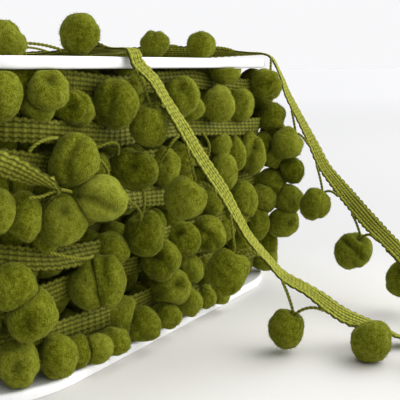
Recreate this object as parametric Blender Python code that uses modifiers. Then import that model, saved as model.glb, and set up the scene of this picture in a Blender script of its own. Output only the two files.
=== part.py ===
"""Pompom fringe trim wound on a plain two-plate reel.

The trim is a flat woven braid with a cord caught along one edge. The cord leaves the braid in
V-shaped loops, and each loop carries one yarn pompom at its tip. Most of the trim is wound on the
reel. One length is drawn off over the reel's long front edge and one over its far front corner,
and both run down to the surface that the reel stands on.

The reel's long side lies along X, its wound face that shows faces -Y, and it stands on Z = 0.
"""

import math
from collections import namedtuple

import bmesh
import bpy
from mathutils import Vector

MM = 0.001

# Reel: two flat plates with rounded corners. The origin is the middle of the lower plate's
# underside.
REEL_LONG = 0.276
REEL_WIDE = 0.185
REEL_CORNER = 0.057
REEL_TALL = 0.1334
PLATE_THICK = 0.005
PLATE_ROUNDING = 0.0014
CORNER_STEPS = 10

# Trim.
BRAID_WIDE = 0.009
BRAID_THICK = 0.0016
CORD_RADIUS = 0.00075
FOOT_IN = 0.003  # a foot's depth in the braid, from its edge
FOOT_OUT = 0.002  # how far a cord runs straight out of the braid
LEG_SLACK = 0.002  # how far a leg of a loop bows out
LEGS_APART = 0.0013  # half the distance between the two legs in a pompom's hollow
GAP = 0.0003  # between pieces that touch

# Winding: the turns of braid lie inside the plates' edge, and the pompoms bulge out past it in rows.
TURN_INSET = 0.009
BULGE_OUT = 0.0085  # how far the pompoms reach outside the plates' edge
BULGE_VARY = 0.0016
ROWS = 6
BULGES_A_ROW = 32
CELLS = 3  # surface cells across one bulge, and up it
CLEARANCE = 0.0075  # kept between a bulge and a loose piece

OLIVE = (0.125, 0.155, 0.012)
OLIVE_BRAID = (0.16, 0.19, 0.02)
WHITE = (0.86, 0.86, 0.85)

# Half outline of a pompom, from the hollow that its cord ties in down to its far pole: the share of
# its half width, and of its half height, at each ring.
Ring = namedtuple("Ring", "out up")
POMPOM_RINGS = (
    Ring(0.0, 0.6), Ring(0.36, 0.62), Ring(0.46, 0.9), Ring(0.87, 0.5),
    Ring(1.0, -0.1), Ring(0.7, -0.72), Ring(0.0, -1.0),
)
HOLLOW_FLOOR = POMPOM_RINGS[0].up
POMPOM_SIDES = 8

# A station of a loose length: the middle of the braid, in mm, and the way its fringed edge faces.
Station = namedtuple("Station", "x y z edge_x edge_y edge_z")
FRONT_LENGTH = (
    Station(0, 84.9, 96, -0.3, 0.0, -1.0),
    Station(-18, 85.3, 98.5, -0.3, 0.0, -1.0),
    Station(-34, 86.8, 103, -0.4, 0.1, -1.0),
    Station(-47, 91, 110.5, -0.6, 0.1, -0.9),
    Station(-57, 95, 121, -0.9, 0.0, -0.5),
    Station(-62.5, 96.8, 129.5, -1.0, 0.0, -0.1),
    Station(-64.5, 95.4, 134.8, -1.0, 0.0, 0.0),
    Station(-65.3, 91.5, 136.8, -1.0, 0.0, 0.0),
    Station(-66, 84, 135.8, -1.0, 0.0, 0.0),
    Station(-66, 74, 134.6, -1.0, 0.0, 0.0),
    Station(-64, 50, 134.5, -1.0, -0.1, 0.0),
    Station(-58, 20, 134.5, -1.0, -0.3, 0.0),
    Station(-48, -12, 134.5, -0.9, -0.5, 0.0),
    Station(-31, -34, 134.9, -0.8, -0.6, 0.0),
    Station(-23, -54, 136.4, -0.95, -0.1, 0.4),
    Station(-28, -72, 136.8, -0.95, 0.3, 0.35),
    Station(-35.5, -84, 136.6, -1.0, 0.2, 0.1),
    Station(-38, -91.5, 136.7, -1.0, 0.0, 0.0),
    Station(-39, -94.8, 134.9, -1.0, 0.0, 0.0),
    Station(-38.6, -96.4, 130.5, -1.0, -0.05, -0.2),
    Station(-36.2, -102.8, 123.5, -1.0, -0.1, -0.15),
    Station(-35.3, -107.8, 115.5, -1.0, -0.1, -0.1),
    Station(-33, -116, 102.5, -1.0, -0.05, -0.2),
    Station(-30, -121, 92.5, -0.95, -0.05, -0.25),
    Station(-27, -126, 83.5, -0.95, -0.05, -0.3),
    Station(-24, -130, 76, -0.95, -0.1, -0.3),
    Station(-20, -135, 64.5, -0.95, -0.2, -0.25),
    Station(-16, -139, 55, -0.9, -0.3, -0.3),
    Station(-9.5, -145, 44.5, -0.85, -0.4, -0.3),
    Station(-4, -150.5, 36, -0.9, -0.35, -0.3),
    Station(1.5, -159, 30, -0.85, -0.35, -0.35),
    Station(7, -166, 23.5, -0.85, -0.2, -0.5),
    Station(12.7, -172.4, 17.2, -0.8, -0.25, -0.55),
    Station(19.2, -179, 12.7, -0.75, -0.4, -0.5),
    Station(26.4, -186.6, 8.8, -0.85, -0.5, -0.2),
    Station(31.5, -194.8, 4.5, -0.85, -0.5, 0.15),
    Station(34.7, -205.3, 2.0, -0.9, -0.4, 0.1),
    Station(36.5, -217, 1.2, -0.95, -0.2, 0.0),
    Station(38, -230, 1.1, -1.0, 0.0, 0.0),
)
END_LENGTH = (
    Station(96, 83.8, 95.5, -0.2, 0.1, -1.0),
    Station(80, 85.6, 98, -0.3, 0.0, -1.0),
    Station(66, 87, 103.5, -0.4, 0.1, -1.0),
    Station(56.5, 91, 111, -0.6, 0.1, -0.9),
    Station(50, 95, 121.5, -0.9, 0.0, -0.5),
    Station(47, 96.8, 129.5, -1.0, 0.0, -0.1),
    Station(46, 95.4, 134.8, -1.0, 0.0, 0.0),
    Station(46, 91.5, 136.8, -1.0, 0.0, 0.0),
    Station(47, 84, 135.8, -1.0, -0.1, 0.0),
    Station(49.5, 74, 135.2, -1.0, -0.2, 0.15),
    Station(58, 47, 136.2, -0.9, -0.3, 0.35),
    Station(69, 28, 136.5, -0.85, -0.4, 0.4),
    Station(82, 10, 136.9, -0.75, -0.45, 0.5),
    Station(95, -18, 137.6, -0.6, -0.3, 0.75),
    Station(103, -38, 137.6, -0.6, -0.25, 0.7),
    Station(106, -54, 137.3, -0.8, -0.2, 0.5),
    Station(107, -66, 136.9, -0.9, -0.2, 0.3),
    Station(107.3, -76, 136.6, -0.9, -0.3, 0.1),
    Station(107.2, -84.5, 136.4, -0.9, -0.4, 0.0),
    Station(107.6, -90, 134.3, -0.95, -0.3, 0.0),
    Station(109, -93, 129, -0.95, -0.35, -0.1),
    Station(111.8, -95.8, 121, -0.95, -0.25, -0.15),
    Station(113.4, -98.5, 112.5, -1.0, -0.1, -0.15),
    Station(117, -107.5, 94.5, -1.0, 0.05, -0.15),
    Station(117.5, -114, 83, -0.95, 0.2, -0.1),
    Station(116, -121.5, 71, -0.9, 0.45, -0.1),
    Station(111, -133, 61, -0.75, 0.6, -0.2),
    Station(102.5, -145.5, 52.5, -0.6, 0.7, -0.45),
    Station(93, -158, 45, -0.6, 0.7, -0.4),
    Station(84.5, -169, 39.5, -0.7, 0.65, -0.3),
    Station(76, -180, 34, -0.75, 0.55, -0.3),
    Station(74, -190.5, 26, -0.75, 0.4, -0.5),
    Station(73.5, -205, 14, -0.8, 0.3, -0.4),
    Station(74, -221, 4.5, -0.9, 0.2, -0.1),
    Station(75, -237, 1.3, -1.0, 0.1, 0.0),
    Station(76, -254, 1.1, -1.0, 0.1, 0.0),
)

# A pompom of a loose length, in mm: how far along the length the middle of its loop is, the
# pompom's middle, its size across and along its cord, and half the distance between the loop's feet.
Loose = namedtuple("Loose", "along x y z across tall spread")
FRONT_LOOSE = (
    Loose(36, -42, 94, 79.5, 18, 18, 9),
    Loose(72, -79, 99, 111, 18, 18, 8),
    Loose(112, -88.5, 65, 142.2, 17, 18, 9),
    Loose(150, -82.5, 24, 142.2, 17, 18, 9),
    Loose(188, -70, -16.5, 142.2, 17, 18, 9),
    Loose(224, -54.5, -35.5, 141.8, 16, 18, 9),
    Loose(260, -45.6, -71, 142.6, 18, 17.5, 8),
    Loose(304, -38.7, -101.4, 104.2, 17, 19, 10),
    Loose(345, -34.5, -117.6, 72.5, 18.5, 19, 11.5),
    Loose(379, -27.5, -133.6, 41.6, 18, 20, 11),
    Loose(419, -3, -152, 11.2, 17, 18, 12),
    Loose(457, 5.6, -189, 9.7, 18.5, 18, 12),
    Loose(494, 13, -220, 9.7, 18, 18, 9),
)
END_LOOSE = (
    Loose(14, 77, 93.4, 75, 18, 18, 9),
    Loose(50, 36, 98, 99, 18, 18, 9),
    Loose(92, 25.5, 72, 142.2, 17, 18, 9),
    Loose(122, 33, 45, 142.2, 17, 18, 9),
    Loose(152, 56, 10, 142.2, 17, 18, 9),
    Loose(202, 78.3, -28, 141.8, 16, 18, 9),
    Loose(239, 86, -54.5, 141.8, 16, 17, 9),
    Loose(278, 93.6, -93.6, 118.8, 17.5, 18, 5),
    Loose(317, 105, -102, 84.5, 18, 19, 11.5),
    Loose(355, 101.5, -122.1, 50.7, 17.5, 19, 12.5),
    Loose(397, 92.5, -148.4, 28.4, 19, 20, 13.5),
    Loose(428, 83.5, -181, 17.5, 19, 18, 8),
    Loose(466, 51, -209, 9.8, 18, 18, 9),
    Loose(500, 53, -246, 9.8, 18, 18, 9),
)


def material(name, colour, roughness):
    made = bpy.data.materials.new(name)
    made.use_nodes = True
    shader = made.node_tree.nodes["Principled BSDF"]
    shader.inputs["Base Color"].default_value = (*colour, 1.0)
    shader.inputs["Roughness"].default_value = roughness
    shader.inputs["Metallic"].default_value = 0.0
    return made


def add_object(name, data, collection, look):
    made = bpy.data.objects.new(name, data)
    collection.objects.link(made)
    data.materials.append(look)
    return made


def mesh_from(name, build):
    """A mesh filled by build(bm)."""
    bm = bmesh.new()
    build(bm)
    bmesh.ops.recalc_face_normals(bm, faces=bm.faces)
    mesh = bpy.data.meshes.new(name)
    bm.to_mesh(mesh)
    bm.free()
    return mesh


# ---------------------------------------------------------------- reel


class Outline:
    """The rounded rectangle of the reel, drawn in by inset, as a path of known length.

    It starts in the middle of the back and runs round over -X, the front (-Y) and +X."""

    def __init__(self, inset):
        self.radius = REEL_CORNER - inset
        self.long = REEL_LONG / 2 - REEL_CORNER
        self.wide = REEL_WIDE / 2 - REEL_CORNER
        arc = math.pi / 2 * self.radius
        self.lengths = (self.long, arc, 2 * self.wide, arc, 2 * self.long, arc, 2 * self.wide, arc, self.long)
        self.total = sum(self.lengths)

    def at(self, distance):
        """(point, outward direction) at a distance along the path."""
        heading = math.pi
        point = Vector((0.0, self.wide + self.radius, 0.0))
        for index, length in enumerate(self.lengths):
            step = min(distance, length)
            outward = Vector((math.sin(heading), -math.cos(heading), 0.0))
            if index % 2:
                centre = point - outward * self.radius
                heading += step / self.radius
                outward = Vector((math.sin(heading), -math.cos(heading), 0.0))
                point = centre + outward * self.radius
            else:
                point = point + Vector((math.cos(heading), math.sin(heading), 0.0)) * step
            distance -= step
            if distance <= 0:
                break
        return point, outward


def plate(name, underside, collection, look):
    """One flat plate of the reel, with a rounded rim."""
    curve = bpy.data.curves.new(name, "CURVE")
    curve.dimensions = "2D"
    curve.fill_mode = "BOTH"
    curve.extrude = PLATE_THICK / 2 - PLATE_ROUNDING
    curve.bevel_depth = PLATE_ROUNDING
    curve.bevel_resolution = 2
    curve.offset = -PLATE_ROUNDING
    spline = curve.splines.new("POLY")
    corners = ((1, 1), (-1, 1), (-1, -1), (1, -1))
    spline.points.add(len(corners) * (CORNER_STEPS + 1) - 1)
    for quarter, (side_x, side_y) in enumerate(corners):
        for step in range(CORNER_STEPS + 1):
            angle = (quarter + step / CORNER_STEPS) * math.pi / 2
            x = side_x * (REEL_LONG / 2 - REEL_CORNER) + REEL_CORNER * math.cos(angle)
            y = side_y * (REEL_WIDE / 2 - REEL_CORNER) + REEL_CORNER * math.sin(angle)
            spline.points[quarter * (CORNER_STEPS + 1) + step].co = (x, y, 0.0, 1.0)
    spline.use_cyclic_u = True
    made = add_object(name, curve, collection, look)
    made.location.z = underside + PLATE_THICK / 2
    return made


# ---------------------------------------------------------------- winding


def winding(name, loose_places, collection, look):
    """The trim as it is wound: a rounded block of turns that fills the space between the plates.

    Its pompoms bulge out in rows. The trim climbs as it is wound, so each row starts one cell
    further round than the row below. loose_places holds (point, radius) for what hangs near."""
    turns = Outline(TURN_INSET)
    column_count = BULGES_A_ROW * CELLS
    ring_count = ROWS * CELLS
    low = PLATE_THICK + GAP
    high = REEL_TALL - PLATE_THICK - GAP

    def surface_point(column, ring):
        point, outward = turns.at(turns.total * column / column_count)
        point.z = low + (high - low) * ring / ring_count
        row = ring // CELLS
        across = (column + row) % CELLS
        if ring % CELLS == 0 or across == 0:
            return point
        bulge = (column + row) // CELLS
        reach = TURN_INSET + BULGE_OUT + BULGE_VARY * math.sin(2.4 * bulge + 1.7 * row)
        for place, radius in loose_places:
            offset = place - point
            nearest = point + outward * min(max(offset.dot(outward), 0.0), reach)
            if (nearest - place).length < radius + CLEARANCE:
                return point
        return point + outward * reach

    def wall(bm):
        rings = [
            [bm.verts.new(surface_point(column, ring)) for column in range(column_count)]
            for ring in range(ring_count + 1)
        ]
        for lower, upper in zip(rings, rings[1:]):
            for column in range(column_count):
                after = (column + 1) % column_count
                bm.faces.new((lower[column], lower[after], upper[after], upper[column]))
        bm.faces.new(reversed(rings[0]))
        bm.faces.new(rings[-1])

    return add_object(name, mesh_from(name, wall), collection, look)


# ---------------------------------------------------------------- loose lengths


class Route:
    """A smooth line through a table of stations, with the braid's fringed edge at every point."""

    STEPS = 2  # points for each stretch between two stations

    def __init__(self, stations):
        places = [Vector((row.x, row.y, row.z)) * MM for row in stations]
        edges = [Vector((row.edge_x, row.edge_y, row.edge_z)).normalized() for row in stations]
        self.points = []
        self.edges = []
        for index in range(len(places) - 1):
            before = places[max(index - 1, 0)]
            start, end = places[index], places[index + 1]
            after = places[min(index + 2, len(places) - 1)]
            for step in range(self.STEPS):
                t = step / self.STEPS
                self.points.append(self.smooth(before, start, end, after, t))
                self.edges.append(edges[index].lerp(edges[index + 1], t))
        self.points.append(places[-1])
        self.edges.append(edges[-1])
        self.lengths = [0.0]
        for one, two in zip(self.points, self.points[1:]):
            self.lengths.append(self.lengths[-1] + (two - one).length)
        for index, edge in enumerate(self.edges):
            forward = self.points[min(index + 1, len(self.points) - 1)] - self.points[max(index - 1, 0)]
            forward.normalize()
            self.edges[index] = (edge - forward * edge.dot(forward)).normalized()

    @staticmethod
    def smooth(before, start, end, after, t):
        """A point of the Catmull-Rom curve from start to end."""
        return 0.5 * (
            2 * start
            + (end - before) * t
            + (2 * before - 5 * start + 4 * end - after) * t**2
            + (3 * start - before - 3 * end + after) * t**3
        )

    def at(self, along):
        """(point, fringed edge direction) at a distance along the route."""
        along = min(max(along, 0.0), self.lengths[-1])
        for index in range(len(self.points) - 1):
            if along <= self.lengths[index + 1]:
                break
        part = (along - self.lengths[index]) / (self.lengths[index + 1] - self.lengths[index])
        return (
            self.points[index].lerp(self.points[index + 1], part),
            self.edges[index].lerp(self.edges[index + 1], part).normalized(),
        )


def bezier(start, control, end, t):
    return start * (1 - t) ** 2 + control * (2 * t * (1 - t)) + end * t**2


def loop_points(route, row):
    """The cord of one loop: out of the braid, into the pompom's hollow and back."""
    middle = Vector((row.x, row.y, row.z)) * MM
    feet = []
    for side in (-1, 1):
        point, edge = route.at((row.along + side * row.spread) * MM)
        feet.append((point + edge * (BRAID_WIDE / 2 - FOOT_IN), edge))
    pull = ((feet[0][0] + feet[1][0]) / 2 - middle).normalized()
    tip = middle + pull * (row.tall * MM / 2 * HOLLOW_FLOOR + CORD_RADIUS + GAP)
    mouth = middle + pull * (row.tall * MM / 2 + GAP)
    aside = feet[1][0] - feet[0][0]
    aside = (aside - pull * aside.dot(pull)).normalized() * LEGS_APART
    legs = []
    for (foot, edge), side in zip(feet, (-1, 1)):
        entry = mouth + aside * side
        out = foot + edge * (FOOT_IN + FOOT_OUT)
        slack = (out + mouth + pull * LEG_SLACK) / 2
        legs.append([foot] + [bezier(out, slack, entry, t) for t in (0, 0.6, 1)] + [tip + aside * side])
    return legs[0] + legs[1][::-1]


def loop_cords(name, route, rows):
    """Every loop of a loose length as one closed mesh of round cords."""
    curve = bpy.data.curves.new(name, "CURVE")
    curve.dimensions = "3D"
    curve.bevel_depth = CORD_RADIUS
    curve.bevel_resolution = 0  # four sides are enough for so thin a cord
    curve.use_fill_caps = True
    for row in rows:
        points = loop_points(route, row)
        spline = curve.splines.new("POLY")
        spline.points.add(len(points) - 1)
        for target, point in zip(spline.points, points):
            target.co = (*point, 1.0)
    holder = bpy.data.objects.new(name, curve)
    bpy.context.scene.collection.objects.link(holder)
    bpy.context.view_layer.update()
    seen = holder.evaluated_get(bpy.context.evaluated_depsgraph_get())
    mesh = bpy.data.meshes.new_from_object(seen)
    bpy.data.objects.remove(holder)
    bm = bmesh.new()
    bm.from_mesh(mesh)
    bmesh.ops.remove_doubles(bm, verts=bm.verts, dist=1e-6)
    bmesh.ops.recalc_face_normals(bm, faces=bm.faces)
    bm.to_mesh(mesh)
    bm.free()
    return mesh


def loose_trim(name, route, rows, collection, cutters, look):
    """A loose length's braid with its cord's loops along one edge, as one comb."""

    def ribbon(bm):
        lines = []
        for point, edge in zip(route.points, route.edges):
            lines.append([bm.verts.new(point + edge * (side * BRAID_WIDE / 2)) for side in (-1, 1)])
        for first, second in zip(lines, lines[1:]):
            bm.faces.new((first[0], first[1], second[1], second[0]))

    made = add_object(name, mesh_from(name, ribbon), collection, look)
    body = made.modifiers.new("thickness", "SOLIDIFY")
    body.thickness = BRAID_THICK
    body.offset = 0.0
    cords = bpy.data.objects.new(name + "_loops", loop_cords(name + "_loops", route, rows))
    cutters.objects.link(cords)
    cords.hide_render = True
    cords.display_type = "WIRE"
    join = made.modifiers.new("loops", "BOOLEAN")
    join.operation = "UNION"
    join.solver = "EXACT"
    join.object = cords
    return made


def loose_pompom(name, route, row, collection, look):
    """A ball of cut yarn, drawn in where its cord ties it."""
    middle = Vector((row.x, row.y, row.z)) * MM
    hook, edge = route.at(row.along * MM)
    pull = (hook + edge * (BRAID_WIDE / 2 - FOOT_IN) - middle).normalized()
    profile = bpy.data.meshes.new(name)
    points = [(ring.out * row.across * MM / 2, 0.0, ring.up * row.tall * MM / 2) for ring in POMPOM_RINGS]
    profile.from_pydata(points, [(index, index + 1) for index in range(len(points) - 1)], [])
    made = add_object(name, profile, collection, look)
    turn = made.modifiers.new("turn", "SCREW")
    turn.steps = POMPOM_SIDES
    turn.render_steps = POMPOM_SIDES
    turn.use_merge_vertices = True
    turn.merge_threshold = 0.00001
    turn.use_smooth_shade = True
    made.location = middle
    made.rotation_mode = "QUATERNION"
    made.rotation_quaternion = Vector((0, 0, 1)).rotation_difference(pull)
    return made


def main():
    for old in list(bpy.data.objects):
        bpy.data.objects.remove(old)
    scene = bpy.context.scene
    trim = bpy.data.collections.new("pompom fringe trim on a reel")
    cutters = bpy.data.collections.new("cutters")
    scene.collection.children.link(trim)
    scene.collection.children.link(cutters)

    plastic = material("white plastic", WHITE, 0.35)
    yarn = material("pompom yarn", OLIVE, 0.95)
    braid = material("braid yarn", OLIVE_BRAID, 0.85)

    plate("reel_lower_plate", 0.0, trim, plastic)
    plate("reel_upper_plate", REEL_TALL - PLATE_THICK, trim, plastic)
    loose_places = []
    for name, stations, rows in (("front", FRONT_LENGTH, FRONT_LOOSE), ("end", END_LENGTH, END_LOOSE)):
        route = Route(stations)
        loose_places += [(point, BRAID_WIDE / 2) for point in route.points]
        loose_places += [(Vector((row.x, row.y, row.z)) * MM, row.across * MM / 2) for row in rows]
        loose_trim(f"{name}_length", route, rows, trim, cutters, braid)
        for number, row in enumerate(rows, 1):
            loose_pompom(f"{name}_pompom_{number:02d}", route, row, trim, yarn)
    winding("winding", loose_places, trim, yarn)


main()
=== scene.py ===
"""Looks of the pompom fringe trim on its reel: woven braid, twisted cords, yarn pompoms, plastic plates.

Shapes are worked out in mm and turned into metres by MM, while the camera, the lights and the floor
are in metres. The reel's long side lies along X, its front faces -Y, and it stands on Z = 0.
"""

import math
from collections import namedtuple

import bpy
import numpy as np
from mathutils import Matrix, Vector


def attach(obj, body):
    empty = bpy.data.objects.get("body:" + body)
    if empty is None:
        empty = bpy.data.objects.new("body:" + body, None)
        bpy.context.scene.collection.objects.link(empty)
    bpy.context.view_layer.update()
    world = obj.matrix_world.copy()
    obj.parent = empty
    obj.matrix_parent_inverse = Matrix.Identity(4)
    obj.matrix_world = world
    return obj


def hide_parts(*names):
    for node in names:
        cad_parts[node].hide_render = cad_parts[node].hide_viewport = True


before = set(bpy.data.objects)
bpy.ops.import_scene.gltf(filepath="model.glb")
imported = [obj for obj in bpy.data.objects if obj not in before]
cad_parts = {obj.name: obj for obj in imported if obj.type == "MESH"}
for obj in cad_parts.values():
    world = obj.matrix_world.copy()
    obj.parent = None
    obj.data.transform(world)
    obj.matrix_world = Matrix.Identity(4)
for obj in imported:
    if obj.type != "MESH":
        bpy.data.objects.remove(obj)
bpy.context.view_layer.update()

MM = 0.001
UP = np.array((0.0, 0.0, 1.0))

# Camera: its place and look in the frame, for a 400 x 400 picture.
EYE = (-0.3251, -0.2942, 0.130)
LOOK_PLAN = (0.8637, 0.5041)
LOOK_DOWN_DEG = 9.592
LENS = 72.0
SENSOR = 36.0

# Reel.
REEL_LONG = 276.0
REEL_WIDE = 185.0
REEL_CORNER = 57.0
REEL_TALL = 133.4
PLATE_THICK = 5.0
PLATE_ROUNDING = 1.4
STRAIGHT_LONG = REEL_LONG - 2 * REEL_CORNER
STRAIGHT_WIDE = REEL_WIDE - 2 * REEL_CORNER
ARC = math.pi / 2 * REEL_CORNER
AROUND = 2 * STRAIGHT_LONG + 2 * STRAIGHT_WIDE + 4 * ARC

# Trim, in mm.
BRAID_WIDE = 10.0  # over the turns of yarn at its edges
BRAID_THICK = 1.6
RIBS = 5
BEAD_PITCH = 2.07  # between two wefts
BEAD_SLANT = 0.35  # how far a bead leans, in beads, from one side of its rib to the other
PICOT_PITCH = 4.14  # between two turns of yarn at the edges
PICOT_OUT = 0.8
CORD_RADIUS = 0.85
CORD_TWIST = 1.9  # length of one turn of its two plies
FOOT_IN = 3.0  # a foot's depth in the braid, from its edge
HOLLOW_FLOOR = 0.6  # how far up a pompom's hollow its cord goes in, as a share of its half height
GAP = 0.3  # between pieces that touch

# Stations of a route: a place (x, y, z) in mm, and the way (x, y, z) that the braid's fringed edge
# faces there.
FRONT_LENGTH = (
    (0, 84.9, 96, -0.3, 0, -1),
    (-18, 85.3, 98.5, -0.3, 0, -1),
    (-34, 86.8, 103, -0.4, 0.1, -1),
    (-47, 91, 110.5, -0.6, 0.1, -0.9),
    (-57, 95, 121, -0.9, 0, -0.5),
    (-62.5, 96.8, 129.5, -1, 0, -0.1),
    (-64.5, 95.4, 134.8, -1, 0, 0),
    (-65.3, 91.5, 136.8, -1, 0, 0),
    (-66, 84, 135.8, -1, 0, 0),
    (-66, 74, 134.6, -1, 0, 0),
    (-64, 50, 134.5, -1, -0.1, 0),
    (-58, 20, 134.5, -1, -0.3, 0),
    (-48, -12, 134.5, -0.9, -0.5, 0),
    (-31, -34, 134.9, -0.8, -0.6, 0),
    (-23, -54, 136.4, -0.95, -0.1, 0.4),
    (-28, -72, 136.8, -0.95, 0.3, 0.35),
    (-35.5, -84, 136.6, -1, 0.2, 0.1),
    (-38, -91.5, 136.7, -1, 0, 0),
    (-39, -94.8, 134.9, -1, 0, 0),
    (-38.6, -96.4, 130.5, -1, -0.05, -0.2),
    (-36.2, -102.8, 123.5, -1, -0.1, -0.15),
    (-35.3, -107.8, 115.5, -1, -0.1, -0.1),
    (-33, -116, 102.5, -1, -0.05, -0.2),
    (-30, -121, 92.5, -0.95, -0.05, -0.25),
    (-27, -126, 83.5, -0.95, -0.05, -0.3),
    (-24, -130, 76, -0.95, -0.1, -0.3),
    (-20, -135, 64.5, -0.95, -0.2, -0.25),
    (-16, -139, 55, -0.9, -0.3, -0.3),
    (-9.5, -145, 44.5, -0.85, -0.4, -0.3),
    (-4, -150.5, 36, -0.9, -0.35, -0.3),
    (1.5, -159, 30, -0.85, -0.35, -0.35),
    (7, -166, 23.5, -0.85, -0.2, -0.5),
    (12.7, -172.4, 17.2, -0.8, -0.25, -0.55),
    (19.2, -179, 12.7, -0.75, -0.4, -0.5),
    (26.4, -186.6, 8.8, -0.85, -0.5, -0.2),
    (31.5, -194.8, 4.5, -0.85, -0.5, 0.15),
    (34.7, -205.3, 2, -0.9, -0.4, 0.1),
    (36.5, -217, 1.2, -0.95, -0.2, 0),
    (38, -230, 1.1, -1, 0, 0),
)
END_LENGTH = (
    (96, 83.8, 95.5, -0.2, 0.1, -1),
    (80, 85.6, 98, -0.3, 0, -1),
    (66, 87, 103.5, -0.4, 0.1, -1),
    (56.5, 91, 111, -0.6, 0.1, -0.9),
    (50, 95, 121.5, -0.9, 0, -0.5),
    (47, 96.8, 129.5, -1, 0, -0.1),
    (46, 95.4, 134.8, -1, 0, 0),
    (46, 91.5, 136.8, -1, 0, 0),
    (47, 84, 135.8, -1, -0.1, 0),
    (49.5, 74, 135.2, -1, -0.2, 0.15),
    (58, 47, 136.2, -0.9, -0.3, 0.35),
    (69, 28, 136.5, -0.85, -0.4, 0.4),
    (82, 10, 136.9, -0.75, -0.45, 0.5),
    (95, -18, 137.6, -0.6, -0.3, 0.75),
    (103, -38, 137.6, -0.6, -0.25, 0.7),
    (106, -54, 137.3, -0.8, -0.2, 0.5),
    (107, -66, 136.9, -0.9, -0.2, 0.3),
    (107.3, -76, 136.6, -0.9, -0.3, 0.1),
    (107.2, -84.5, 136.4, -0.9, -0.4, 0),
    (107.6, -90, 134.3, -0.95, -0.3, 0),
    (109, -93, 129, -0.95, -0.35, -0.1),
    (111.8, -95.8, 121, -0.95, -0.25, -0.15),
    (113.4, -98.5, 112.5, -1, -0.1, -0.15),
    (117, -107.5, 94.5, -1, 0.05, -0.15),
    (117.5, -114, 83, -0.95, 0.2, -0.1),
    (116, -121.5, 71, -0.9, 0.45, -0.1),
    (111, -133, 61, -0.75, 0.6, -0.2),
    (102.5, -145.5, 52.5, -0.6, 0.7, -0.45),
    (93, -158, 45, -0.6, 0.7, -0.4),
    (84.5, -169, 39.5, -0.7, 0.65, -0.3),
    (76, -180, 34, -0.75, 0.55, -0.3),
    (74, -190.5, 26, -0.75, 0.4, -0.5),
    (73.5, -205, 14, -0.8, 0.3, -0.4),
    (74, -221, 4.5, -0.9, 0.2, -0.1),
    (75, -237, 1.3, -1, 0.1, 0),
    (76, -254, 1.1, -1, 0.1, 0),
)

# A loose pompom, in mm: how far along its length it hangs, its middle, its size across and up, and
# how far before and after it the feet of its loop lie.
Loose = namedtuple("Loose", "along x y z across tall spread")
FRONT_LOOSE = (
    (36, -42, 94, 79.5, 18, 18, 9),
    (72, -79, 99, 111, 18, 18, 8),
    (112, -88.5, 65, 142.2, 17, 18, 9),
    (150, -82.5, 24, 142.2, 17, 18, 9),
    (188, -70, -16.5, 142.2, 17, 18, 9),
    (224, -54.5, -35.5, 141.8, 16, 18, 9),
    (260, -45.6, -71, 142.6, 18, 17.5, 8),
    (304, -38.7, -101.4, 104.2, 17, 19, 10),
    (345, -34.5, -117.6, 72.5, 18.5, 19, 11.5),
    (379, -27.5, -133.6, 41.6, 18, 20, 11),
    (419, -3, -152, 11.2, 17, 18, 12),
    (457, 5.6, -189, 9.7, 18.5, 18, 12),
    (494, 13, -220, 9.7, 18, 18, 9),
)
END_LOOSE = (
    (14, 77, 93.4, 75, 18, 18, 9),
    (50, 36, 98, 99, 18, 18, 9),
    (92, 25.5, 72, 142.2, 17, 18, 9),
    (122, 33, 45, 142.2, 17, 18, 9),
    (152, 56, 10, 142.2, 17, 18, 9),
    (202, 78.3, -28, 141.8, 16, 18, 9),
    (239, 86, -54.5, 141.8, 16, 17, 9),
    (278, 93.6, -93.6, 118.8, 17.5, 18, 5),
    (317, 105, -102, 84.5, 18, 19, 11.5),
    (355, 101.5, -122.1, 50.7, 17.5, 19, 12.5),
    (397, 92.5, -148.4, 28.4, 19, 20, 13.5),
    (428, 83.5, -181, 17.5, 19, 18, 8),
    (466, 51, -209, 9.8, 18, 18, 9),
    (500, 53, -246, 9.8, 18, 18, 9),
)

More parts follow.
